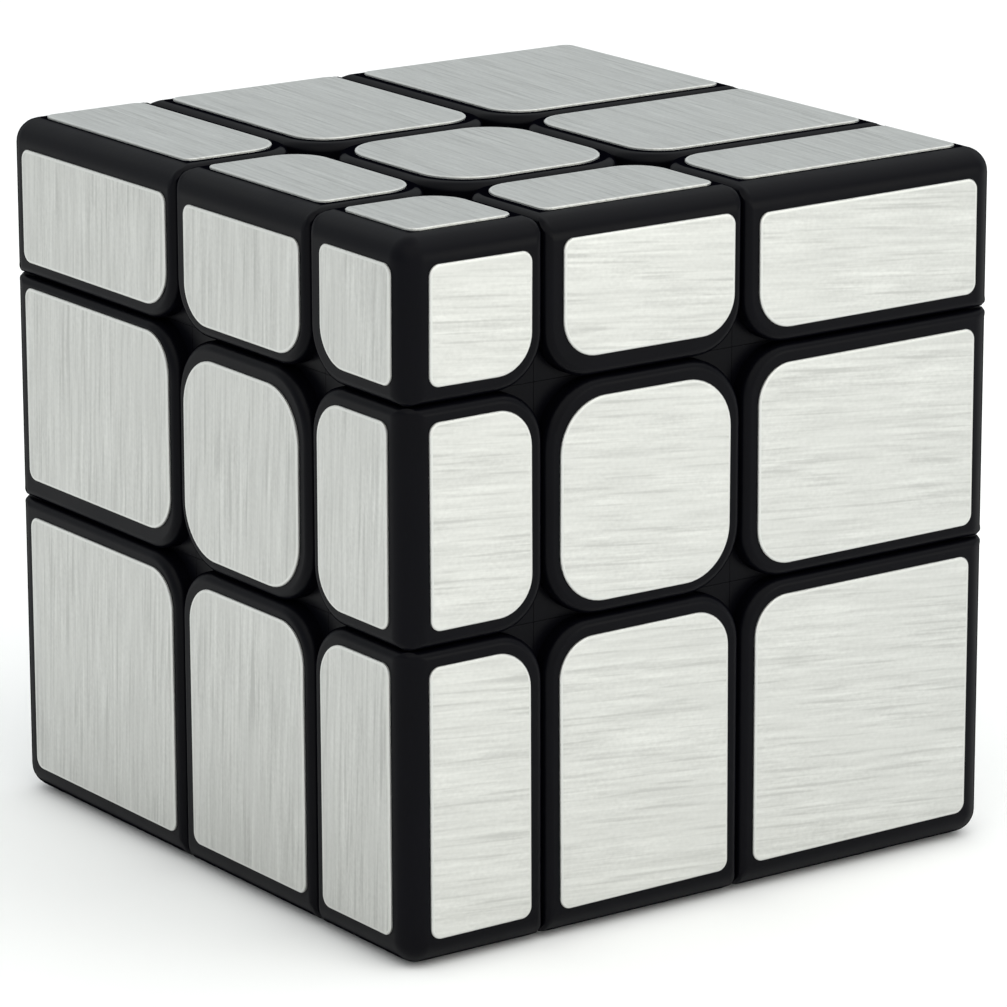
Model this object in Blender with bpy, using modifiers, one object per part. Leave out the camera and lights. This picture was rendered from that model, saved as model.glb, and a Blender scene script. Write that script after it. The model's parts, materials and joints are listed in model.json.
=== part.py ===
"""Twisty puzzle cube with three unequal layers along each axis, and its inner mechanism.

The cube is 57 mm wide and stands on the ground plane, centred on the world origin.
Six centres turn on screws in a six-armed core. Twelve edges and eight corners hang on
feet that share one spherical shell around the core, under the overhang of their
neighbours. Every piece is modelled about the core's centre, where all axes meet.
"""
import itertools
import math

import bmesh
import bpy
from mathutils import Matrix, Vector

MM = 0.001
SAME_PLACE = 1e-6               # metres: two coordinates closer than this are one

# Driving dimensions, in millimetres.
CUBE = 57.0
THIN = 12.9
MIDDLE = 18.9
THICK = CUBE - THIN - MIDDLE
THIN_SIDE = (1, -1, 1)          # the thin layers are on the right, at the front and on top
GAP = 0.4                       # between the faces of neighbouring blocks
FIT = 0.3                       # between parts of one piece
WALL = 1.8

# Rounding of the blocks.
OUTER_RADIUS = 2.0              # the cube's own twelve edges
SEAM_RADIUS = 0.9               # where a block's outer face meets a seam
POCKET_RADIUS = 4.2             # upright edges at a crossing of seams
CENTRE_POCKET_RADIUS = 5.0
SHOULDER_DEPTH = 1.6            # below this the blocks are square, so a pocket has a floor
SHOULDER_SETBACK = 0.04
POCKET_STEPS = 3
RIM_STEPS = 2

# The spherical shell that holds the feet.
BALL = 19.0
BALL_SUBDIVISIONS = 3
BALL_CLEARANCE = 0.65           # at the facets' corners; their middles lie 0.23 closer in
FOOT_INNER = 14.0
FOOT_CUT = 5.6                  # where two feet meet, measured from the core's planes
NECK_END = 13.6                 # a corner's neck is square up to here
FRAME_END = 16.6                # an edge foot's frame fills its shell's mouth up to here
TONGUE_END = 19.0
VENT_RADIUS = 0.8
VENT_START = 11.0               # inside the shell, clear of the corner's foot
VENT_END = 22.0                 # in the corner's cavity

# Centres, screws, springs and core.
CAP_THICKNESS = 1.4
STEM_RADIUS = 5.0
STEM_START = 8.9
STEM_SETBACK = 0.1              # below the top of a solid hub
WELL_RADIUS = 3.6
WELL_FLOOR = 12.4
CAVITY_FLOOR = 21.2
CAP_PLUG_DEPTH = 2.0
CAP_BOSS_RADIUS = 3.3
CAP_BOSS_END = 19.2
SCREW_RADIUS = 1.45
SCREW_TIP = 3.2
HEAD_RADIUS = 2.9
HEAD_BOTTOM = 17.0
HEAD_TOP = 18.8
RECESS_DEPTH = 1.0
RECESS_LENGTH = 3.2
RECESS_WIDTH = 0.8
SPRING_RADIUS = 2.35
SPRING_WIRE = 0.35
SPRING_TURNS = 3.5
SPRING_STEPS = 8
ARM_RADIUS = 4.2
ARM_END = 8.6
CORE_BLOCK = 4.8                # half the width of the block where the arms meet
BORE_START = 2.8
SIDES = 16
BORE_SIDES = 12
CUT_PAST = 1.0                  # how far a cutter runs past the surface that it opens
JOIN_DEPTH = 0.5                # how far two shapes overlap where they are joined

HALF = MIDDLE / 2
SIDE_NAMES = (("left", "right"), ("front", "back"), ("bottom", "top"))
CORE_CENTRE = Vector([side * (CUBE / 2 - THIN - HALF) for side in THIN_SIDE]) + Vector((0, 0, CUBE / 2))

MATERIALS = {
    "block_plastic": ((0.012, 0.012, 0.015), 0.38, 0.0),
    "mechanism_plastic": ((0.016, 0.016, 0.018), 0.5, 0.0),
    "core_plastic": ((0.55, 0.55, 0.53), 0.5, 0.0),
    "screw_steel": ((0.62, 0.62, 0.63), 0.3, 1.0),
    "spring_steel": ((0.5, 0.5, 0.52), 0.35, 1.0),
}


def clear_scene():
    for item in list(bpy.data.objects):
        bpy.data.objects.remove(item, do_unlink=True)


def make_collection(name):
    collection = bpy.data.collections.new(name)
    bpy.context.scene.collection.children.link(collection)
    return collection


def make_material(name):
    color, roughness, metallic = MATERIALS[name]
    material = bpy.data.materials.new(name)
    material.use_nodes = True
    shader = material.node_tree.nodes["Principled BSDF"]
    shader.inputs["Base Color"].default_value = (*color, 1.0)
    shader.inputs["Roughness"].default_value = roughness
    shader.inputs["Metallic"].default_value = metallic
    return material


def add_object(name, mesh, collection):
    made = bpy.data.objects.new(name, mesh)
    collection.objects.link(made)
    return made


def mesh_from(bm, name):
    mesh = bpy.data.meshes.new(name)
    bm.to_mesh(mesh)
    bm.free()
    return mesh


def box_mesh(low, high):
    """A box between two corners given in millimetres from the core's centre."""
    bm = bmesh.new()
    size = [b - a for a, b in zip(low, high)]
    middle = [(a + b) / 2 for a, b in zip(low, high)]
    place = Matrix.Translation(Vector(middle) * MM) @ Matrix.Diagonal([s * MM for s in size] + [1.0])
    bmesh.ops.create_cube(bm, size=1.0, matrix=place)
    return mesh_from(bm, "box")


def cylinder_mesh(direction, radius, start, end, sides=SIDES):
    """A cylinder along a direction, between two distances from the core's centre."""
    bm = bmesh.new()
    toward = Vector(direction).normalized()
    turn = toward.to_track_quat("Z", "Y").to_matrix().to_4x4()
    place = Matrix.Translation(toward * (start + end) / 2 * MM) @ turn
    bmesh.ops.create_cone(bm, cap_ends=True, segments=sides, radius1=radius * MM,
                          radius2=radius * MM, depth=(end - start) * MM, matrix=place)
    return mesh_from(bm, "cylinder")


def ball_mesh(radius):
    bm = bmesh.new()
    bmesh.ops.create_icosphere(bm, subdivisions=BALL_SUBDIVISIONS, radius=radius * MM)
    return mesh_from(bm, "ball")


def bake(item):
    """Apply an object's modifiers to its mesh."""
    graph = bpy.context.evaluated_depsgraph_get()
    mesh = bpy.data.meshes.new_from_object(item.evaluated_get(graph))
    item.modifiers.clear()
    item.data = mesh


def combine(item, mesh, operation, cutters):
    """Boolean one mesh into an object."""
    tool = add_object("tool", mesh, cutters)
    tool.hide_render = True
    tool.display_type = "WIRE"
    modifier = item.modifiers.new(operation.lower(), "BOOLEAN")
    modifier.operation = operation
    modifier.object = tool
    bake(item)
    bpy.data.objects.remove(tool, do_unlink=True)


def weight_bevel(item, weights, width, steps):
    """Bevel the edges that have a weight, each by its weight times the width."""
    attribute = item.data.attributes.new("bevel_weight_edge", "FLOAT", "EDGE")
    for index, weight in enumerate(weights):
        attribute.data[index].value = weight
    modifier = item.modifiers.new("bevel", "BEVEL")
    modifier.limit_method = "WEIGHT"
    modifier.width = width * MM
    modifier.segments = steps
    modifier.use_clamp_overlap = False
    bake(item)
    left_over = item.data.attributes.get("bevel_weight_edge")
    if left_over:
        item.data.attributes.remove(left_over)


def reach(axis, side):
    """Distance from the core's centre to the cube's outer face on one side."""
    return HALF + (THIN if side == THIN_SIDE[axis] else THICK)


def block_range(axis, side):
    """A block's extent along one axis, for its layer there: -1, 0 or 1."""
    if side == 0:
        return -HALF + GAP / 2, HALF - GAP / 2
    ends = (side * (HALF + GAP / 2), side * reach(axis, side))
    return min(ends), max(ends)


def on_outer_face(point, axis, side, outer):
    return side != 0 and abs(point[axis] - side * outer * MM) < SAME_PLACE


def pocket_weights(mesh, place):
    """Mark a block's upright edges at the seam crossings."""
    weights = []
    for edge in mesh.edges:
        a, b = [mesh.vertices[i].co for i in edge.vertices]
        run = max(range(3), key=lambda axis: abs(a[axis] - b[axis]))
        across = [axis for axis in range(3) if axis != run]
        inner = all(not on_outer_face(a, axis, place[axis], reach(axis, place[axis])) for axis in across)
        weights.append(1.0 if inner and place[run] != 0 else 0.0)
    return weights


def rim_weights(mesh, place):
    """Mark the edges around a block's outer faces, more where two outer faces meet."""
    bm = bmesh.new()
    bm.from_mesh(mesh)
    weights = []
    for edge in bm.edges:
        outer = 0
        for face in edge.link_faces:
            middle = face.calc_center_median()
            outer += any(on_outer_face(middle, axis, place[axis], reach(axis, place[axis]))
                         for axis in range(3))
        weights.append((0.0, SEAM_RADIUS / OUTER_RADIUS, 1.0)[outer])
    bm.free()
    return weights


def shoulder_mesh(place):
    """The square inner part of a block, from a little below its outer faces."""
    lows, highs = [], []
    for axis, side in enumerate(place):
        low, high = block_range(axis, side)
        lows.append(low + (SHOULDER_DEPTH if side < 0 else SHOULDER_SETBACK))
        highs.append(high - (SHOULDER_DEPTH if side > 0 else SHOULDER_SETBACK))
    return box_mesh(lows, highs)


def rounded_block(name, place, collection, cutters):
    """A block of the cube with rounded rims, and pocket corners rounded down to its shoulder."""
    ranges = [block_range(axis, side) for axis, side in enumerate(place)]
    item = add_object(name, box_mesh(*zip(*ranges)), collection)
    weight_bevel(item, pocket_weights(item.data, place), POCKET_RADIUS, POCKET_STEPS)
    weight_bevel(item, rim_weights(item.data, place), OUTER_RADIUS, RIM_STEPS)
    combine(item, shoulder_mesh(place), "UNION", cutters)
    return item


def signed_box(place, outward, across):
    """A box that mirrors with its piece: one range on its outer axes and one on the others."""
    low, high = [], []
    for side in place:
        ends = across if side == 0 else (side * outward[0], side * outward[1])
        low.append(min(ends))
        high.append(max(ends))
    return box_mesh(low, high)


def make_foot(name, place, collection, cutters):
    """The part of the spherical shell that belongs to an edge or a corner."""
    near = FOOT_CUT + GAP / 2
    width = FOOT_CUT - GAP / 2
    foot = add_object(name, signed_box(place, (near, BALL), (-width, width)), collection)
    combine(foot, ball_mesh(BALL), "INTERSECT", cutters)
    combine(foot, ball_mesh(FOOT_INNER), "DIFFERENCE", cutters)
    return foot


def cavity_mesh(place):
    """The hollow inside an edge or corner block."""
    low, high = [], []
    for axis, side in enumerate(place):
        near, far = block_range(axis, side)
        low.append(near + WALL)
        high.append(far - WALL)
    return box_mesh(low, high)


def make_corner(name, place, collection, cutters):
    corner = rounded_block(name, place, collection, cutters)
    neck = signed_box(place, (HALF + GAP / 2, NECK_END), (0, 0))
    combine(corner, neck, "UNION", cutters)
    foot = make_foot("foot", place, cutters, cutters)
    combine(corner, foot.data, "UNION", cutters)
    bpy.data.objects.remove(foot, do_unlink=True)
    combine(corner, cavity_mesh(place), "DIFFERENCE", cutters)
    vent = cylinder_mesh(place, VENT_RADIUS, VENT_START, VENT_END, BORE_SIDES)
    combine(corner, vent, "DIFFERENCE", cutters)
    return corner


def make_edge_shell(name, place, collection, cutters):
    shell = rounded_block(name, place, collection, cutters)
    combine(shell, cavity_mesh(place), "DIFFERENCE", cutters)
    combine(shell, ball_mesh(BALL + BALL_CLEARANCE), "DIFFERENCE", cutters)
    width = FOOT_CUT - GAP / 2 + FIT
    mouth = signed_box(place, (HALF - CUT_PAST, FRAME_END + FIT), (-width, width))
    combine(shell, mouth, "DIFFERENCE", cutters)
    return shell


def make_edge_foot(name, place, collection, cutters):
    foot = make_foot(name, place, collection, cutters)
    width = FOOT_CUT - GAP / 2
    frame = signed_box(place, (HALF + GAP / 2, FRAME_END), (-width, width))
    combine(foot, frame, "UNION", cutters)
    tongue_start = HALF + GAP / 2 + WALL + FIT
    tongue = signed_box(place, (tongue_start, TONGUE_END), (-width + FIT, width - FIT))
    combine(foot, tongue, "UNION", cutters)
    return foot


def centre_square(name, place, low, high, collection):
    """A centre's square prism, between two heights on its axis."""
    half = HALF - GAP / 2
    return add_object(name, signed_box(place, (low, high), (-half, half)), collection)


def round_upright_edges(item, place):
    """Round a centre's edges that run along its axis."""
    weights = []
    for edge in item.data.edges:
        a, b = [item.data.vertices[i].co for i in edge.vertices]
        weights.append(1.0 if abs((b - a).dot(Vector(place))) > SAME_PLACE else 0.0)
    weight_bevel(item, weights, CENTRE_POCKET_RADIUS, POCKET_STEPS)


def centre_side(place):
    axis = next(index for index, side in enumerate(place) if side)
    return reach(axis, place[axis])


def make_centre_hub(name, place, collection, cutters):
    top = centre_side(place) - CAP_THICKNESS - FIT
    hub = centre_square(name, place, HALF, top, collection)
    combine(hub, ball_mesh(BALL + BALL_CLEARANCE), "DIFFERENCE", cutters)
    stem_top = min(top, CAVITY_FLOOR)
    if top > CAVITY_FLOOR:
        inner = HALF - GAP / 2 - WALL
        hollow = signed_box(place, (CAVITY_FLOOR, top + CUT_PAST), (-inner, inner))
        combine(hub, hollow, "DIFFERENCE", cutters)
    stem = cylinder_mesh(place, STEM_RADIUS, STEM_START, stem_top - STEM_SETBACK)
    combine(hub, stem, "UNION", cutters)
    well = cylinder_mesh(place, WELL_RADIUS, WELL_FLOOR, top + CUT_PAST)
    combine(hub, well, "DIFFERENCE", cutters)
    screw_hole = cylinder_mesh(place, SCREW_RADIUS + FIT, STEM_START - CUT_PAST, WELL_FLOOR + CUT_PAST,
                               BORE_SIDES)
    combine(hub, screw_hole, "DIFFERENCE", cutters)
    return hub


def make_centre_cap(name, place, collection, cutters):
    top = centre_side(place)
    bottom = top - CAP_THICKNESS
    cap = centre_square(name, place, bottom, top, collection)
    round_upright_edges(cap, place)
    weight_bevel(cap, rim_weights(cap.data, place), OUTER_RADIUS, RIM_STEPS)
    if top > CAVITY_FLOOR + CAP_THICKNESS + FIT:
        inner = HALF - GAP / 2 - WALL - FIT
        plug = signed_box(place, (bottom - CAP_PLUG_DEPTH, bottom + JOIN_DEPTH), (-inner, inner))
    else:
        plug = cylinder_mesh(place, CAP_BOSS_RADIUS, CAP_BOSS_END, bottom + JOIN_DEPTH)
    combine(cap, plug, "UNION", cutters)
    return cap


def make_screw(name, place, collection, cutters):
    """A cylinder head with a cross recess on a plain shank."""
    shank = cylinder_mesh(place, SCREW_RADIUS, SCREW_TIP, HEAD_BOTTOM + JOIN_DEPTH, BORE_SIDES)
    screw = add_object(name, shank, collection)
    combine(screw, cylinder_mesh(place, HEAD_RADIUS, HEAD_BOTTOM, HEAD_TOP), "UNION", cutters)
    axis = next(index for index, side in enumerate(place) if side)
    for long_axis in range(3):
        if long_axis == axis:
            continue
        halves = [RECESS_WIDTH / 2] * 3
        halves[long_axis] = RECESS_LENGTH / 2
        low = [-half for half in halves]
        high = list(halves)
        ends = (place[axis] * (HEAD_TOP - RECESS_DEPTH), place[axis] * (HEAD_TOP + CUT_PAST))
        low[axis] = min(ends)
        high[axis] = max(ends)
        combine(screw, box_mesh(low, high), "DIFFERENCE", cutters)
    return screw


def make_spring(name, place, collection):
    """A coil between the well's floor and the screw's head."""
    low = WELL_FLOOR + FIT + SPRING_WIRE
    high = HEAD_BOTTOM - FIT - SPRING_WIRE
    turn = Vector(place).to_track_quat("Z", "Y").to_matrix()
    curve = bpy.data.curves.new(name, "CURVE")
    curve.dimensions = "3D"
    curve.bevel_depth = SPRING_WIRE * MM
    curve.bevel_resolution = 2
    curve.use_fill_caps = True
    spline = curve.splines.new("POLY")
    count = int(SPRING_TURNS * SPRING_STEPS) + 1
    spline.points.add(count - 1)
    for index, point in enumerate(spline.points):
        share = index / (count - 1)
        angle = share * SPRING_TURNS * math.tau
        spot = Vector((SPRING_RADIUS * math.cos(angle), SPRING_RADIUS * math.sin(angle),
                       low + (high - low) * share))
        point.co = (*(turn @ spot * MM), 1.0)
    coil = add_object("coil", curve, collection)
    graph = bpy.context.evaluated_depsgraph_get()
    mesh = bpy.data.meshes.new_from_object(coil.evaluated_get(graph))
    bpy.data.objects.remove(coil, do_unlink=True)
    bm = bmesh.new()
    bm.from_mesh(mesh)
    bmesh.ops.remove_doubles(bm, verts=bm.verts, dist=SAME_PLACE)
    bmesh.ops.recalc_face_normals(bm, faces=bm.faces)
    bm.to_mesh(mesh)
    bm.free()
    return add_object(name, mesh, collection)


def make_core(collection, cutters):
    """Six arms in a cross, each with a blind bore for its screw."""
    core = add_object("core_spider", box_mesh([-CORE_BLOCK] * 3, [CORE_BLOCK] * 3), collection)
    for direction in ((1, 0, 0), (0, 1, 0), (0, 0, 1)):
        combine(core, cylinder_mesh(direction, ARM_RADIUS, -ARM_END, ARM_END), "UNION", cutters)
    for place in centre_places():
        bore = cylinder_mesh(place, SCREW_RADIUS + FIT, BORE_START, ARM_END + CUT_PAST, BORE_SIDES)
        combine(core, bore, "DIFFERENCE", cutters)
    return core


def all_places():
    return list(itertools.product((-1, 0, 1), repeat=3))


def centre_places():
    return [place for place in all_places() if sum(map(abs, place)) == 1]


def edge_places():
    return [place for place in all_places() if sum(map(abs, place)) == 2]


def corner_places():
    return [place for place in all_places() if sum(map(abs, place)) == 3]


def place_name(place):
    """The sides that a piece belongs to, such as top_front_right."""
    words = [SIDE_NAMES[axis][place[axis] > 0] for axis in (2, 1, 0) if place[axis]]
    return "_".join(words)


def finish(item, material):
    """Give a part its material and its smooth shading, and put its origin at the core's centre."""
    item.data.materials.clear()
    item.data.materials.append(material)
    item.data.shade_smooth()
    item.data.set_sharp_from_angle(angle=math.radians(35))
    item.location = CORE_CENTRE * MM


def build():
    clear_scene()
    parts = make_collection("twisty_puzzle_cube")
    cutters = make_collection("cutters")
    materials = {name: make_material(name) for name in MATERIALS}
    finish(make_core(parts, cutters), materials["core_plastic"])
    for place in centre_places():
        side = place_name(place)
        finish(make_screw(f"screw_{side}", place, parts, cutters), materials["screw_steel"])
        finish(make_spring(f"spring_{side}", place, parts), materials["spring_steel"])
        hub = make_centre_hub(f"centre_{side}_hub", place, parts, cutters)
        finish(hub, materials["block_plastic"])
        cap = make_centre_cap(f"centre_{side}_cap", place, parts, cutters)
        finish(cap, materials["block_plastic"])
    for place in edge_places():
        sides = place_name(place)
        shell = make_edge_shell(f"edge_{sides}_shell", place, parts, cutters)
        finish(shell, materials["block_plastic"])
        foot = make_edge_foot(f"edge_{sides}_foot", place, parts, cutters)
        finish(foot, materials["mechanism_plastic"])
    for place in corner_places():
        corner = make_corner(f"corner_{place_name(place)}", place, parts, cutters)
        finish(corner, materials["block_plastic"])


build()
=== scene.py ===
"""Looks of the twisty puzzle cube: rounded black blocks with brushed silver stickers."""
import itertools
import json
import math
import random

import bmesh
import bpy
from mathutils import Matrix, Vector


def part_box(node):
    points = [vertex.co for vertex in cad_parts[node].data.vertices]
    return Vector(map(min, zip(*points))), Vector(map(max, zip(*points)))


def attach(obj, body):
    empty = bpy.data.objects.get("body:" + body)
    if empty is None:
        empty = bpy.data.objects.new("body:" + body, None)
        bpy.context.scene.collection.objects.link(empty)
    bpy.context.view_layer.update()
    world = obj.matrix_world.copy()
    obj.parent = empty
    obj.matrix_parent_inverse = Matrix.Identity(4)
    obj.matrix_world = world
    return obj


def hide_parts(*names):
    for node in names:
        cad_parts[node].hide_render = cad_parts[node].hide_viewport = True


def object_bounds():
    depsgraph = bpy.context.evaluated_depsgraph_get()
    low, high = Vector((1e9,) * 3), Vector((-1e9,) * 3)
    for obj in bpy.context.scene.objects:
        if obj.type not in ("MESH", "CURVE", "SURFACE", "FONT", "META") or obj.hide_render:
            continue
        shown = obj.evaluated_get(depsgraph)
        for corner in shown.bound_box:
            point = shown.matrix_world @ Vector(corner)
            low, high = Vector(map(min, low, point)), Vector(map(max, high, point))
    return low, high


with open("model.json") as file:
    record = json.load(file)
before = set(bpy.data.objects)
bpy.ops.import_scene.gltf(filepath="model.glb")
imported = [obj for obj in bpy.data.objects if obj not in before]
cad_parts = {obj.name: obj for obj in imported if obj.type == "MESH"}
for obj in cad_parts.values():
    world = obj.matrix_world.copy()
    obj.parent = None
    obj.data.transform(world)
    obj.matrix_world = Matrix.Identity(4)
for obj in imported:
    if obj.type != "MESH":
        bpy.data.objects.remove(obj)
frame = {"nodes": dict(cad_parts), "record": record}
CAD_LOW, CAD_HIGH = [Vector(corner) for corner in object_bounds()]

MM = 0.001
MM_PER_CM = 10

SIDE_NAMES = (("left", "right"), ("front", "back"), ("bottom", "top"))
# The core's centre, where the axes of all the joints meet.
CORE = Vector(frame["record"]["behaviour"]["joints"][0]["pos_m"])

# Blocks, in millimetres.
OUTER_RADIUS = 2.0
SEAM_RADIUS = 0.75
SEAM_GAP = 0.16
POCKET_RADIUS = 4.2
CENTRE_POCKET_RADIUS = 5.2
SHOULDER_DEPTH = 1.6
SHOULDER_GAP = 0.04
POCKET_STEPS = 10
RIM_STEPS = 8
# Two places closer than this many metres are the same.
SAME_PLACE = 1e-6

# Mechanism, in millimetres, with the feet's hollow as a share of their radius.
FOOT_RADIUS = 19.0
FOOT_HOLLOW = 0.737
BALL_CLEARANCE = 0.4
NECK_LENGTH = 4.0
BALL_SUBDIVISIONS = 5
# How far a cutting box reaches past its block, in metres.
CUT_REACH = 1.0

# Stickers, in millimetres.
OUTER_INSET = 2.2
SEAM_INSET = 1.27
CENTRE_STICKER_RADIUS = 4.2
CROSSING_RADIUS = 3.1
PLAIN_RADIUS = 0.9
STICKER_SIDE = 0.12
STICKER_LIP = 0.06
RIM_WIDTH = 0.16
RIM_RISE = 0.02
STICKER_THICKNESS = STICKER_SIDE + STICKER_LIP + RIM_RISE
ARC_STEPS = 12
# How unevenly every sticker is laid: a random shift in millimetres, and a turn in degrees with
# the most that it can be.
STICKER_SHIFT = 0.05
STICKER_TURN = 0.2
MOST_TURN = 1
STICKER_SEED = 7
# Stickers that were laid clearly off centre, in millimetres along X, Y and Z.
STICKER_NUDGES = {
    "front_of_top_front_right": (0.5, 0.0, 0.2),
    "front_of_top_front": (0.4, 0.0, -0.3),
    "front_of_top_front_left": (0.3, 0.0, 0.0),
    "front_of_front": (0.0, 0.0, -0.2),
    "front_of_front_left": (0.3, 0.0, 0.5),
    "front_of_bottom_front": (0.3, 0.0, 0.1),
    "front_of_bottom_front_left": (0.4, 0.0, 0.0),
    "right_of_top_right": (0.0, 0.2, 0.4),
    "right_of_right": (0.0, 0.0, -0.2),
    "right_of_bottom_front_right": (0.0, -0.2, 0.0),
}

# Brushing of the stickers that lie across X, Y and Z: its direction, how many degrees it is off
# the cube's edges, and how far it takes the foil's colour down and up.
BRUSH_DIRECTION = (Vector((0, 1, 0)), Vector((0, 0, 1)), Vector((1, 0, 0)))
BRUSH_SKEW = (6.0, 2.5, 4.0)
BRUSH_CONTRAST = (0.15, 0.15, 0.16)
FOIL_NAMES = ("foil_side", "foil_front", "foil_top")

# Foil. Streaks, scratches and patches start with how many there are to the centimetre, along
# and across the brushing.
FOIL_COLOR = (0.553, 0.558, 0.537)
FOIL_ROUGHNESS = 0.42
FOIL_ROUGHNESS_SWING = 0.04
FOIL_ANISOTROPY = 0.75
QUARTER_TURN = 0.25
FOIL_SHEET_CM = 40
# Streaks: octaves, and share of the tone.
FOIL_STREAKS = (((0.6, 18.0), 2.0, 0.28), ((2.2, 30.0), 2.0, 0.24), ((0.6, 6.0), 2.0, 0.07),
                ((24.0, 34.0), 1.0, 0.13))
STREAK_NOISE = (0.25, 0.75)
STREAK_NOISE_ROUGHNESS = 0.55
# Scratches, sparse and darker: how much the tone rises between them and falls in them, and the
# noise values at which they start and are deepest.
FOIL_SCRATCHES = ((0.9, 26.0), 0.024, -0.4)
SCRATCH_NOISE = (0.56, 0.7)
# Patches: how much weaker and stronger the streaks get.
FOIL_PATCHES = ((1.1, 2.6), 0.7, 1.3)
PATCH_NOISE = (0.35, 0.65)
FOIL_BUMP = {"Strength": 0.1, "Distance": 0.00002}

# The rim of a sticker: how much brighter than the foil its colour is, a painted highlight along the edge,
# then roughness, and noise to the metre.
RIM_HIGHLIGHT_GAIN = 1.1
RIM_ROUGHNESS = (0.28, 0.42)
RIM_GRAIN = 900.0

# Plastics: base colour and roughness.
BLOCK_PLASTIC = ((0.0012, 0.0012, 0.0024), 0.33)
MECHANISM_PLASTIC = ((0.012, 0.012, 0.013), 0.5)
CORE_PLASTIC = ((0.55, 0.55, 0.53), 0.5)
PLASTIC_SPECULAR = 0.07
# The moulded texture breaks up a glancing reflection between these facing values.
GLANCING = (0.48, 0.78)
# Moulded texture and handling marks: noise to the metre, and what the marks do to the
# roughness and the colour.
PLASTIC_GRAIN = 2600.0
PLASTIC_MARKS = 160.0
MARKS_ROUGHNESS = (-0.05, 0.07)
MARKS_COLOR = (0.85, 1.2)
PLASTIC_BUMP = {"Strength": 0.35, "Distance": 0.000012}

# Steels: base colour and roughness, the drawn marks' noise to the metre and their roughness.
SCREW_STEEL = ((0.62, 0.62, 0.63), 0.3)
SPRING_STEEL = ((0.5, 0.5, 0.52), 0.35)
STEEL_GRAIN = 1500.0
STEEL_ROUGHNESS = (-0.08, 0.1)
STEEL_BUMP = {"Strength": 0.2, "Distance": 0.00001}

# Shading: faces that meet at more than this many degrees keep a sharp edge, and large faces
# lead the normals by this weight.
SHARP_ANGLE = 32
NORMAL_WEIGHT = 90

# Stage and lights: metres, watts, and linear colours.
FLOOR_HALF_WIDTH = 4.0
FLOOR_COLOR = (0.93, 0.93, 0.93)
FLOOR_ROUGHNESS = 0.8
WORLD_COLOR = (0.955, 1.0, 1.02, 1.0)
WORLD_STRENGTH = 0.775
LIGHT_TARGET = Vector((0.0, 0.0, 0.03))
LIGHTS = {
    "overhead": ((0.05, -0.02, 1.5), (4.0, 4.0), 17.0, (1.0, 0.98, 0.93)),
    "right_front": ((1.0, -0.3, 1.0), (2.2, 2.2), 10.0, (1.0, 0.965, 0.88)),
    "side_low": ((0.9, 0.55, 0.22), (0.4, 0.4), 1.34, (1.0, 0.98, 0.9)),
    "back_high": ((0.3, 0.65, 0.95), (1.0, 1.0), 1.7, (1.0, 1.0, 1.0)),
}

# Camera: degrees and metres, and millimetres for its lens and sensor.
AZIMUTH = 54.6
ELEVATION = 15.37
ROLL = -0.13
DISTANCE = 0.4598
AIM = Vector((0.00085, 0.00012, 0.02625))
LENS = 201.7
SENSOR_WIDTH = 36.0


# ------------------------------------------------------------------- places

def all_places():
    """Every block's place in the cube: -1, 0 or 1 along X, Y and Z."""
    return [place for place in itertools.product((-1, 0, 1), repeat=3) if any(place)]


def place_name(place):
    """The sides that a block lies on, such as top_front_right."""
    words = [SIDE_NAMES[axis][place[axis] > 0] for axis in (2, 1, 0) if place[axis]]
    return "_".join(words)


def kind_of(place):
    return {1: "centre", 2: "edge", 3: "corner"}[sum(map(abs, place))]


def body_name(place):
    return f"{kind_of(place)}_{place_name(place)}"


def main_axis(direction):
    """The axis along which a direction or a place reaches furthest."""
    return max(range(3), key=lambda axis: abs(direction[axis]))


def middle_range(axis):
    """The middle layer along one axis, read from a centre's cap that lies across it."""
    low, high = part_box("centre_top_cap" if axis < 2 else "centre_right_cap")
    return low[axis], high[axis]


def cad_gap(axis):
    """The gap between neighbouring blocks in the CAD model."""
    side_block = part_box("edge_top_right_shell" if axis == 0 else "edge_top_back_shell")
    return side_block[0][axis] - middle_range(axis)[1]


def layer_range(axis, side):
    """A block's extent along one axis, for its layer there, in metres."""
    low, high = middle_range(axis)
    grow = (cad_gap(axis) - SEAM_GAP * MM) / 2
    if side == 0:
        return low - grow, high + grow
    if side > 0:
        return high - grow + cad_gap(axis), CAD_HIGH[axis]
    return CAD_LOW[axis], low + grow - cad_gap(axis)


def outer_coordinate(axis, side):
    return (CAD_HIGH if side > 0 else CAD_LOW)[axis]


def is_outer(point, axis, side):
    return side != 0 and abs(point[axis] - outer_coordinate(axis, side)) < SAME_PLACE


# ---------------------------------------------------------------- mesh tools

def mesh_object(name, bm):
    mesh = bpy.data.meshes.new(name)
    bm.to_mesh(mesh)
    bm.free()
    made = bpy.data.objects.new(name, mesh)
    bpy.context.scene.collection.objects.link(made)
    return made


def box_object(name, ranges):
    """A box with a range from low to high along X, Y and Z."""
    bm = bmesh.new()
    size = [high - low for low, high in ranges]
    middle = [(low + high) / 2 for low, high in ranges]
    place = Matrix.Translation(middle) @ Matrix.Diagonal(size + [1.0])
    bmesh.ops.create_cube(bm, size=1.0, matrix=place)
    return mesh_object(name, bm)


def ball_object(radius):
    """A ball around the core's centre."""
    bm = bmesh.new()
    bmesh.ops.create_icosphere(bm, subdivisions=BALL_SUBDIVISIONS, radius=radius,
                               matrix=Matrix.Translation(CORE))
    return mesh_object("ball", bm)


def bake(item):
    """Make the modifiers' result the object's own mesh."""
    graph = bpy.context.evaluated_depsgraph_get()
    mesh = bpy.data.meshes.new_from_object(item.evaluated_get(graph))
    item.modifiers.clear()
    item.data = mesh


def combine(item, tool, operation):
    """Join, cut or intersect with a tool, which is used up."""
    modifier = item.modifiers.new("cut", "BOOLEAN")
    modifier.operation = operation
    modifier.object = tool
    bake(item)
    bpy.data.objects.remove(tool, do_unlink=True)


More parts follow.
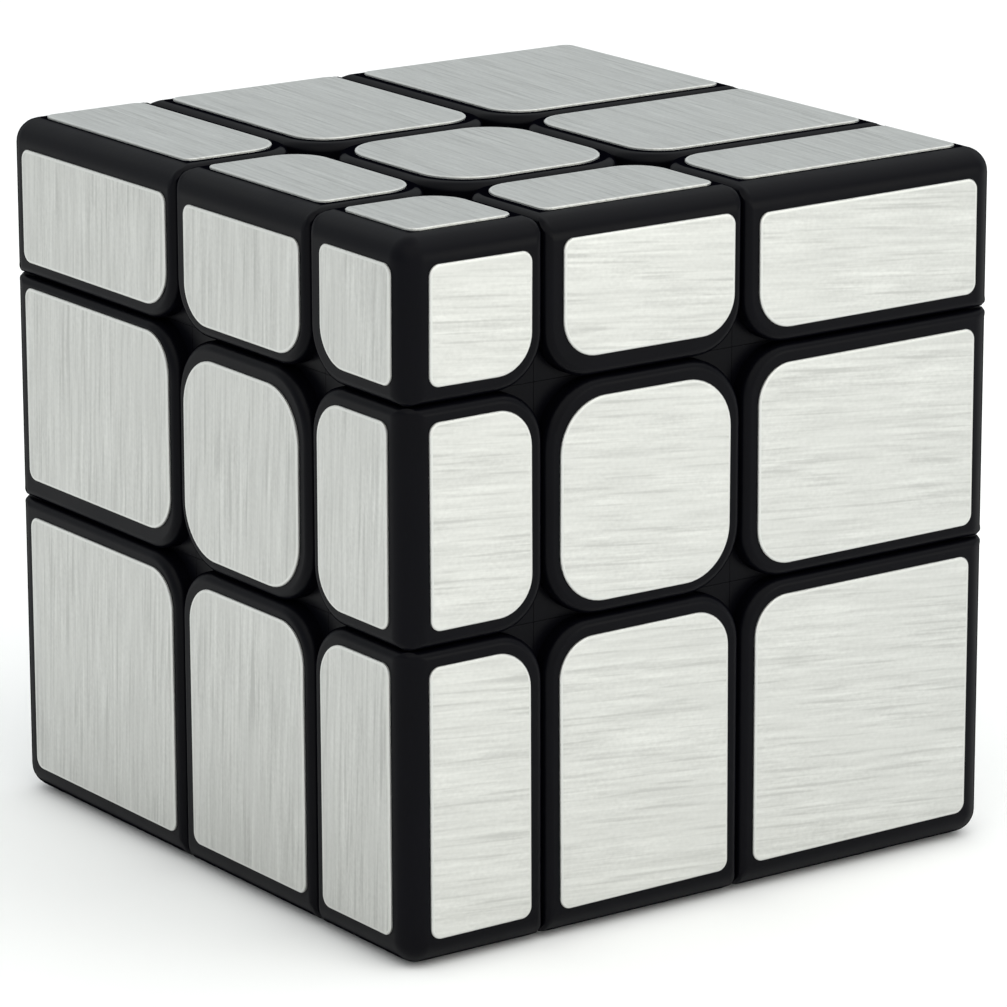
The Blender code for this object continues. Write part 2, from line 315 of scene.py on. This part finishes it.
def weight_bevel(item, weights, width, steps):
    """Round each edge by its weight's share of a width in millimetres."""
    attribute = item.data.attributes.new("bevel_weight_edge", "FLOAT", "EDGE")
    for index, weight in enumerate(weights):
        attribute.data[index].value = weight
    modifier = item.modifiers.new("bevel", "BEVEL")
    modifier.limit_method = "WEIGHT"
    modifier.width = width * MM
    modifier.segments = steps
    modifier.use_clamp_overlap = False
    bake(item)
    left_over = item.data.attributes.get("bevel_weight_edge")
    if left_over:
        item.data.attributes.remove(left_over)


def soften(item):
    """Smooth shading that keeps the flat faces flat."""
    item.data.shade_smooth()
    item.data.set_sharp_from_angle(angle=math.radians(SHARP_ANGLE))
    modifier = item.modifiers.new("normals", "WEIGHTED_NORMAL")
    modifier.keep_sharp = True
    modifier.weight = NORMAL_WEIGHT


def dress(item, material):
    item.data.materials.clear()
    item.data.materials.append(material)


# ------------------------------------------------------------------- blocks

def pocket_weights(mesh, place):
    """Mark a block's upright edges at the seam crossings."""
    weights = []
    for edge in mesh.edges:
        a, b = [mesh.vertices[i].co for i in edge.vertices]
        run = main_axis(a - b)
        across = [axis for axis in range(3) if axis != run]
        inner = not any(is_outer(a, axis, place[axis]) for axis in across)
        weights.append(1.0 if inner and place[run] != 0 else 0.0)
    return weights


def rim_weights(mesh, place):
    """Mark the edges around a block's outer faces, more where two outer faces meet."""
    bm = bmesh.new()
    bm.from_mesh(mesh)
    weights = []
    for edge in bm.edges:
        outer = sum(any(is_outer(face.calc_center_median(), axis, place[axis]) for axis in range(3))
                    for face in edge.link_faces)
        weights.append((0.0, SEAM_RADIUS / OUTER_RADIUS, 1.0)[outer])
    bm.free()
    return weights


def make_shoulder(place):
    """The square inner part of a block, which closes the pockets just below its outer faces."""
    stand_out = (SEAM_GAP - SHOULDER_GAP) / 2
    ranges = []
    for axis, side in enumerate(place):
        low, high = layer_range(axis, side)
        low += (SHOULDER_DEPTH if side < 0 else -stand_out) * MM
        high -= (SHOULDER_DEPTH if side > 0 else -stand_out) * MM
        ranges.append((low, high))
    return box_object("shoulder", ranges)


def make_block(place):
    """A block's outer part: a box with rounded pockets and rims, joined to its square shoulder."""
    ranges = [layer_range(axis, side) for axis, side in enumerate(place)]
    block = box_object(f"block_{place_name(place)}", ranges)
    radius = CENTRE_POCKET_RADIUS if kind_of(place) == "centre" else POCKET_RADIUS
    weight_bevel(block, pocket_weights(block.data, place), radius, POCKET_STEPS)
    weight_bevel(block, rim_weights(block.data, place), OUTER_RADIUS, RIM_STEPS)
    combine(block, make_shoulder(place), "UNION")
    return block


def cut_centre(block, place):
    """A centre's cap: its block down to the hub's top face."""
    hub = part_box(f"centre_{place_name(place)}_hub")
    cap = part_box(f"centre_{place_name(place)}_cap")
    ranges = [[low - CUT_REACH, high + CUT_REACH] for low, high in zip(*cap)]
    axis = main_axis(place)
    end = int(place[axis] > 0)
    ranges[axis][end] = hub[end][axis]
    combine(block, box_object("below", ranges), "DIFFERENCE")


# ----------------------------------------------------------------- stickers

def rounded_rectangle(halves, radii):
    """Corner arcs of a rectangle about the origin, anticlockwise from its lower left corner."""
    points = []
    for sides, start in (((-1, -1), 180), ((1, -1), 270), ((1, 1), 0), ((-1, 1), 90)):
        radius = radii[sides]
        x, y = [side * (half - radius) for side, half in zip(sides, halves)]
        for step in range(ARC_STEPS + 1):
            angle = math.radians(start + 90 * step / ARC_STEPS)
            points.append((x + radius * math.cos(angle), y + radius * math.sin(angle)))
    return points


def sticker_radius(place, sides, axes):
    """The radius at one corner: large where both of its sides run along seams."""
    seams = [place[axis] != side for axis, side in zip(axes, sides)]
    if not all(seams):
        return PLAIN_RADIUS * MM
    return (CENTRE_STICKER_RADIUS if kind_of(place) == "centre" else CROSSING_RADIUS) * MM


def sticker_span(place, axis):
    """A sticker's extent along one axis of its block's face."""
    low, high = layer_range(axis, place[axis])
    low += (OUTER_INSET if place[axis] == -1 else SEAM_INSET) * MM
    high -= (OUTER_INSET if place[axis] == 1 else SEAM_INSET) * MM
    return low, high


def sticker_outline(place, directions):
    """A sticker's outline about its own centre, in its own two directions."""
    axes = [main_axis(direction) for direction in directions]
    spans = [sticker_span(place, axis) for axis in axes]
    halves = [(high - low) / 2 for low, high in spans]
    radii = {}
    for sides in itertools.product((-1, 1), repeat=2):
        world_sides = [side * round(direction[axis])
                       for side, direction, axis in zip(sides, directions, axes)]
        radii[sides] = sticker_radius(place, world_sides, axes)
    return rounded_rectangle(halves, radii)


def sticker_centre(place, axis):
    """The middle of a sticker's underside, on its block's outer face."""
    centre = [sum(sticker_span(place, run)) / 2 for run in range(3)]
    centre[axis] = outer_coordinate(axis, place[axis])
    return Vector(centre)


def die_cut_plate(outline):
    """A thin plate with a slanted lip and, inside it, a pressed rim in the second material."""
    bm = bmesh.new()
    face = bm.faces.new([bm.verts.new((x, y, 0.0)) for x, y in outline])
    bm.normal_update()
    bmesh.ops.solidify(bm, geom=[face], thickness=-STICKER_SIDE * MM)
    bmesh.ops.recalc_face_normals(bm, faces=bm.faces)
    top = max(bm.faces, key=lambda f: f.calc_center_median().z)
    bmesh.ops.inset_individual(bm, faces=[top], thickness=STICKER_LIP * MM, depth=STICKER_LIP * MM)
    rim = bmesh.ops.inset_individual(bm, faces=[top], thickness=RIM_WIDTH * MM, depth=RIM_RISE * MM)
    for rim_face in rim["faces"]:
        rim_face.material_index = 1
    bmesh.ops.recalc_face_normals(bm, faces=bm.faces)
    return bm


def map_grain(bm, skew, chance):
    """Lay the brushing over a plate, in centimetres, from its own stretch of the foil."""
    layer = bm.loops.layers.uv.new("grain")
    turn = Matrix.Rotation(math.radians(skew), 2)
    offset = Vector((chance.uniform(0, FOIL_SHEET_CM), chance.uniform(0, FOIL_SHEET_CM)))
    for face in bm.faces:
        for loop in face.loops:
            loop[layer].uv = turn @ loop.vert.co.xy / MM / MM_PER_CM + offset


def make_sticker(place, axis, foil, rim, chance):
    """A thin die-cut plate on one outer face, with its local X along the brushing."""
    side = place[axis]
    label = f"{SIDE_NAMES[axis][side > 0]}_of_{place_name(place)}"
    normal = Vector([side if run == axis else 0 for run in range(3)])
    along = BRUSH_DIRECTION[axis]
    across = normal.cross(along)
    bm = die_cut_plate(sticker_outline(place, (along, across)))
    map_grain(bm, BRUSH_SKEW[axis], chance)
    sticker = mesh_object(f"sticker_{label}", bm)
    for material in (foil, rim):
        sticker.data.materials.append(material)
    turn = Matrix((along, across, normal)).transposed().to_4x4()
    centre = sticker_centre(place, axis) + Vector(STICKER_NUDGES.get(label, (0, 0, 0))) * MM
    slip = [chance.gauss(0, STICKER_SHIFT) * MM for _ in range(2)]
    skew = math.radians(max(-MOST_TURN, min(MOST_TURN, chance.gauss(0, STICKER_TURN))))
    sticker.matrix_world = (Matrix.Translation(centre) @ turn @ Matrix.Translation((*slip, 0))
                            @ Matrix.Rotation(skew, 4, "Z"))
    soften(sticker)
    return sticker


# ---------------------------------------------------------------- mechanism

def foot_range(box, axis, side):
    """A foot's extent along one axis: the CAD's, but out to the feet's ball on its block's side."""
    low, high = box[0][axis], box[1][axis]
    ball_end = CORE[axis] + side * FOOT_RADIUS * MM
    if side > 0:
        return low, ball_end
    if side < 0:
        return ball_end, high
    return low, high


def neck_range(axis, side):
    """A neck's extent along an axis on which its block lies to one side: a little into the block."""
    low, high = layer_range(axis, side)
    if side > 0:
        return low, low + NECK_LENGTH * MM
    return high - NECK_LENGTH * MM, high


def make_foot(place):
    """The foot under a block, in the spherical shell around the core, with its neck."""
    node = body_name(place)
    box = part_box(f"{node}_foot" if kind_of(place) == "edge" else node)
    foot_ranges = [foot_range(box, axis, side) for axis, side in enumerate(place)]
    foot = box_object(f"foot_{place_name(place)}", foot_ranges)
    combine(foot, ball_object(FOOT_RADIUS * MM), "INTERSECT")
    combine(foot, ball_object(FOOT_RADIUS * MM * FOOT_HOLLOW), "DIFFERENCE")
    neck_ranges = [neck_range(axis, side) if side else foot_ranges[axis]
                   for axis, side in enumerate(place)]
    combine(foot, box_object("neck", neck_ranges), "UNION")
    return foot


# ---------------------------------------------------------------- node tools

def new_material(name, color, roughness, metallic=0.0):
    material = bpy.data.materials.new(name)
    material.use_nodes = True
    shader = material.node_tree.nodes["Principled BSDF"]
    shader.inputs["Base Color"].default_value = (*color, 1.0)
    shader.inputs["Roughness"].default_value = roughness
    shader.inputs["Metallic"].default_value = metallic
    return material, material.node_tree, shader


def add_node(tree, kind, **values):
    """A node with each named input or setting filled in."""
    node = tree.nodes.new(kind)
    for name, value in values.items():
        if name in node.inputs:
            node.inputs[name].default_value = value
        else:
            setattr(node, name, value)
    return node


def object_place(tree):
    return add_node(tree, "ShaderNodeTexCoord").outputs["Object"]


def noise(tree, vector, scale, detail, roughness=0.5):
    node = add_node(tree, "ShaderNodeTexNoise", Scale=scale, Detail=detail, Roughness=roughness)
    tree.links.new(vector, node.inputs["Vector"])
    return node.outputs["Fac"]


def brushed_noise(tree, grain, per_cm, detail, roughness=0.5):
    """Noise drawn out along the brushing."""
    node = add_node(tree, "ShaderNodeMapping", Scale=(*per_cm, 1.0))
    tree.links.new(grain, node.inputs["Vector"])
    return noise(tree, node.outputs["Vector"], 1.0, detail, roughness)


def spread(tree, value, low, high, start=0.3, end=0.7):
    """The value, with start to end taken to low to high. Most noise lies between the defaults."""
    node = add_node(tree, "ShaderNodeMapRange", **{"From Min": start, "From Max": end,
                                                   "To Min": low, "To Max": high})
    tree.links.new(value, node.inputs["Value"])
    return node.outputs["Result"]


def calculate(tree, operation, *values):
    """A sum or a product of numbers and other nodes' outputs."""
    node = add_node(tree, "ShaderNodeMath", operation=operation)
    for socket, value in zip(node.inputs, values):
        if isinstance(value, float):
            socket.default_value = value
        else:
            tree.links.new(value, socket)
    return node.outputs[0]


def vary_color(tree, shader, factor, color, low, high):
    """Take the base colour from low to high times a colour."""
    blend = add_node(tree, "ShaderNodeMix", data_type="RGBA")
    tree.links.new(factor, blend.inputs["Factor"])
    blend.inputs["A"].default_value = (*[c * low for c in color], 1.0)
    blend.inputs["B"].default_value = (*[c * high for c in color], 1.0)
    tree.links.new(blend.outputs["Result"], shader.inputs["Base Color"])


def add_bump(tree, shader, height, size):
    bump = add_node(tree, "ShaderNodeBump", **size)
    tree.links.new(height, bump.inputs["Height"])
    tree.links.new(bump.outputs["Normal"], shader.inputs["Normal"])


# ---------------------------------------------------------------- materials

def foil_tone(tree, grain):
    """Streaks and scratches, stronger in some patches than in others, as a value around a half."""
    tone = 0.0
    for per_cm, detail, share in FOIL_STREAKS:
        lines = brushed_noise(tree, grain, per_cm, detail, STREAK_NOISE_ROUGHNESS)
        streaks = spread(tree, lines, -1.0, 1.0, *STREAK_NOISE)
        tone = calculate(tree, "MULTIPLY_ADD", streaks, share, tone)
    per_cm, between, deepest = FOIL_SCRATCHES
    marks = spread(tree, brushed_noise(tree, grain, per_cm, detail=1.0), between, deepest, *SCRATCH_NOISE)
    tone = calculate(tree, "ADD", tone, marks)
    per_cm, weak, strong = FOIL_PATCHES
    patches = spread(tree, brushed_noise(tree, grain, per_cm, detail=2.0), weak, strong, *PATCH_NOISE)
    return calculate(tree, "MULTIPLY_ADD", tone, patches, 0.5)


def foil_material(axis):
    """Brushed foil: fine scratches along the sticker's X, in tone, gloss and relief."""
    material, tree, shader = new_material(FOIL_NAMES[axis], FOIL_COLOR, FOIL_ROUGHNESS, metallic=1.0)
    shader.inputs["Anisotropic"].default_value = FOIL_ANISOTROPY
    shader.inputs["Anisotropic Rotation"].default_value = QUARTER_TURN
    tangent = add_node(tree, "ShaderNodeTangent", direction_type="UV_MAP", uv_map="grain")
    tree.links.new(tangent.outputs["Tangent"], shader.inputs["Tangent"])
    tone = foil_tone(tree, add_node(tree, "ShaderNodeUVMap", uv_map="grain").outputs["UV"])
    contrast = BRUSH_CONTRAST[axis]
    vary_color(tree, shader, tone, FOIL_COLOR, 1 - contrast, 1 + contrast)
    gloss = spread(tree, tone, FOIL_ROUGHNESS + FOIL_ROUGHNESS_SWING,
                   FOIL_ROUGHNESS - FOIL_ROUGHNESS_SWING, 0.0, 1.0)
    tree.links.new(gloss, shader.inputs["Roughness"])
    add_bump(tree, shader, tone, FOIL_BUMP)
    return material


def rim_material():
    """The sticker's pressed edge, its colour a touch brighter than the foil's as a painted highlight."""
    # Painted highlight: the rim's colour is the foil's, made brighter.
    color = [RIM_HIGHLIGHT_GAIN * c for c in FOIL_COLOR]
    material, tree, shader = new_material("sticker_rim_highlight", color, RIM_ROUGHNESS[1], metallic=1.0)
    gloss = spread(tree, noise(tree, object_place(tree), RIM_GRAIN, detail=2.0), *RIM_ROUGHNESS)
    tree.links.new(gloss, shader.inputs["Roughness"])
    return material


def plastic_material(name, color, roughness):
    """Satin moulded plastic with a fine spark-eroded texture and faint handling marks."""
    material, tree, shader = new_material(name, color, roughness)
    place = object_place(tree)
    facing = add_node(tree, "ShaderNodeLayerWeight", Blend=0.5).outputs["Facing"]
    tree.links.new(spread(tree, facing, PLASTIC_SPECULAR, 0.0, *GLANCING),
                   shader.inputs["Specular IOR Level"])
    marks = noise(tree, place, PLASTIC_MARKS, detail=4.0, roughness=0.6)
    smoothest, roughest = [roughness + change for change in MARKS_ROUGHNESS]
    tree.links.new(spread(tree, marks, smoothest, roughest), shader.inputs["Roughness"])
    vary_color(tree, shader, spread(tree, marks, 0.0, 1.0), color, *MARKS_COLOR)
    add_bump(tree, shader, noise(tree, place, PLASTIC_GRAIN, detail=2.0), PLASTIC_BUMP)
    return material


def steel_material(name, color, roughness):
    """Plated steel with small variations in gloss and fine drawn marks."""
    material, tree, shader = new_material(name, color, roughness, metallic=1.0)
    marks = noise(tree, object_place(tree), STEEL_GRAIN, detail=3.0)
    smoothest, roughest = [roughness + change for change in STEEL_ROUGHNESS]
    tree.links.new(spread(tree, marks, smoothest, roughest), shader.inputs["Roughness"])
    add_bump(tree, shader, marks, STEEL_BUMP)
    return material


# -------------------------------------------------------------------- build

def dress_cad_nodes(block_black):
    """Give the CAD's own nodes their materials, by the first word of their names."""
    looks = {
        "core": plastic_material("core_plastic_look", *CORE_PLASTIC),
        "screw": steel_material("screw_steel_look", *SCREW_STEEL),
        "spring": steel_material("spring_steel_look", *SPRING_STEEL),
    }
    for name, node in frame["nodes"].items():
        dress(node, looks.get(name.split("_")[0], block_black))


def build_block(place, black):
    """The outer part of one block, in place of the CAD's."""
    kind = kind_of(place)
    body = body_name(place)
    block = make_block(place)
    if kind == "centre":
        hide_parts(f"{body}_cap")
        cut_centre(block, place)
    elif kind == "edge":
        combine(block, ball_object(FOOT_RADIUS * MM + BALL_CLEARANCE * MM), "DIFFERENCE")
        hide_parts(f"{body}_shell")
    else:
        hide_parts(body)
    dress(block, black)
    soften(block)
    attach(block, body)


def build_foot(place, black):
    """The inner part of an edge, in place of the CAD's, or of a corner, whose block stands for the CAD's."""
    body = body_name(place)
    foot = make_foot(place)
    dress(foot, black)
    soften(foot)
    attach(foot, body)
    if kind_of(place) == "edge":
        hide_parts(f"{body}_foot")


def build_cube():
    chance = random.Random(STICKER_SEED)
    block_black = plastic_material("block_plastic_look", *BLOCK_PLASTIC)
    foot_black = plastic_material("mechanism_plastic_look", *MECHANISM_PLASTIC)
    foils = [foil_material(axis) for axis in range(3)]
    rim = rim_material()
    dress_cad_nodes(block_black)
    for place in all_places():
        build_block(place, block_black)
        if kind_of(place) != "centre":
            build_foot(place, foot_black)
        for axis in range(3):
            if place[axis]:
                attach(make_sticker(place, axis, foils[axis], rim, chance), body_name(place))


# ------------------------------------------------------------ stage and light

def make_stage():
    """A pale floor under the bottom stickers."""
    bm = bmesh.new()
    bmesh.ops.create_grid(bm, x_segments=1, y_segments=1, size=FLOOR_HALF_WIDTH)
    floor = mesh_object("floor", bm)
    floor.location.z = CAD_LOW.z - STICKER_THICKNESS * MM
    dress(floor, new_material("floor_white", FLOOR_COLOR, FLOOR_ROUGHNESS)[0])


def add_area(name, location, size, power, color):
    light = bpy.data.lights.new(name, "AREA")
    light.color = color
    light.shape = "RECTANGLE"
    light.size, light.size_y = size
    light.energy = power
    made = bpy.data.objects.new(name, light)
    made.location = location
    made.rotation_euler = (LIGHT_TARGET - Vector(location)).to_track_quat("-Z", "Y").to_euler()
    bpy.context.scene.collection.objects.link(made)


def make_lights():
    world = bpy.data.worlds.new("studio")
    world.use_nodes = True
    background = world.node_tree.nodes["Background"]
    background.inputs["Color"].default_value = WORLD_COLOR
    background.inputs["Strength"].default_value = WORLD_STRENGTH
    bpy.context.scene.world = world
    for name, settings in LIGHTS.items():
        add_area(name, *settings)


def make_camera():
    data = bpy.data.cameras.new("camera")
    data.lens = LENS
    data.sensor_width = SENSOR_WIDTH
    camera = bpy.data.objects.new("camera", data)
    bpy.context.scene.collection.objects.link(camera)
    azimuth, elevation = math.radians(AZIMUTH), math.radians(ELEVATION)
    away = Vector((math.sin(azimuth) * math.cos(elevation), -math.cos(azimuth) * math.cos(elevation),
                   math.sin(elevation)))
    turn = (-away).to_track_quat("-Z", "Y").to_matrix().to_4x4()
    roll = Matrix.Rotation(math.radians(ROLL), 4, "Z")
    camera.matrix_world = Matrix.Translation(AIM + away * DISTANCE) @ turn @ roll
    bpy.context.scene.camera = camera


make_camera()
make_stage()
make_lights()
build_cube()
bpy.context.scene.view_settings.view_transform = "Standard"
